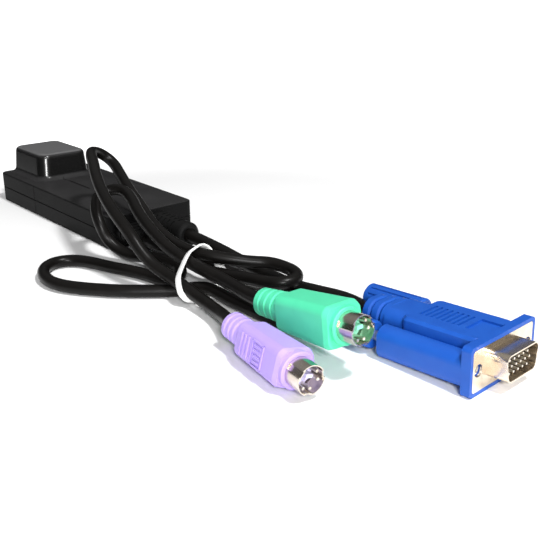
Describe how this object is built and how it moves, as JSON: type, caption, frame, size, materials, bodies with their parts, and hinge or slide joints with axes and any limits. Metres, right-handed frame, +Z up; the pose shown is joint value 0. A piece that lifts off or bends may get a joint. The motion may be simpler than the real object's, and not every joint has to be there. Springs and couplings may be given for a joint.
{
  "type": "kvm dongle",
  "caption": "Flat two-shell adapter box with a raised network socket at one end and tied black cords to a blue video plug and green and purple round plugs.",
  "frame": {"origin": "middle of the box's underside", "axes": "+X along the box towards the cords, +Y across it, +Z up"},
  "size_m": [0.282, 0.0825, 0.0402],
  "materials": {
    "cover_plastic": "charcoal, finely textured",
    "screw_steel": "plated steel",
    "socket_plastic": "black moulded plastic",
    "contact_metal": "gold-plated spring contacts",
    "board": "green glass-fibre board",
    "chip": "black chip package",
    "relief_rubber": "black soft moulding",
    "cord_jacket": "black satin jacket",
    "tie_nylon": "white nylon",
    "green_plastic": "mint green soft moulding",
    "purple_plastic": "lavender soft moulding",
    "blue_plastic": "blue soft moulding",
    "ring_metal": "nickel-plated steel",
    "pin_metal": "nickel-plated brass",
    "insulator_black": "black insulator"
  },
  "bodies": {
    "dongle": {"upper_cover": "cover_plastic", "lower_cover": "cover_plastic", "cover_screws": "screw_steel", "network_socket": "socket_plastic", "network_contacts": "contact_metal", "circuit_board": "board", "board_chips": "chip", "line_transformer": "chip", "video_relief": "relief_rubber", "twin_relief": "relief_rubber", "green_cord": "cord_jacket", "purple_cord": "cord_jacket", "video_cord": "cord_jacket", "white_tie": "tie_nylon", "green_overmould": "green_plastic", "green_ring": "ring_metal", "green_insulator": "green_plastic", "green_pins": "pin_metal", "purple_overmould": "purple_plastic", "purple_ring": "ring_metal", "purple_insulator": "purple_plastic", "purple_pins": "pin_metal", "video_hood": "blue_plastic", "video_shell": "ring_metal", "video_insulator": "insulator_black", "video_pins": "pin_metal"},
    "thumbscrew_near": {"thumb_knob_near": "blue_plastic", "thumb_screw_near": "screw_steel"},
    "thumbscrew_far": {"thumb_knob_far": "blue_plastic", "thumb_screw_far": "screw_steel"}
  },
  "joints": [
    {"name": "thumbscrew_near_turn", "type": "hinge", "parent": "dongle", "child": "thumbscrew_near", "pos_m": [0.18712, -0.0084, 0.00585], "axis": [0.9981, 0.0356, 0.0499], "continuous": true},
    {"name": "thumbscrew_far_turn", "type": "hinge", "parent": "dongle", "child": "thumbscrew_far", "pos_m": [0.18623, 0.01658, 0.00585], "axis": [0.9981, 0.0356, 0.0499], "continuous": true}
  ]
}
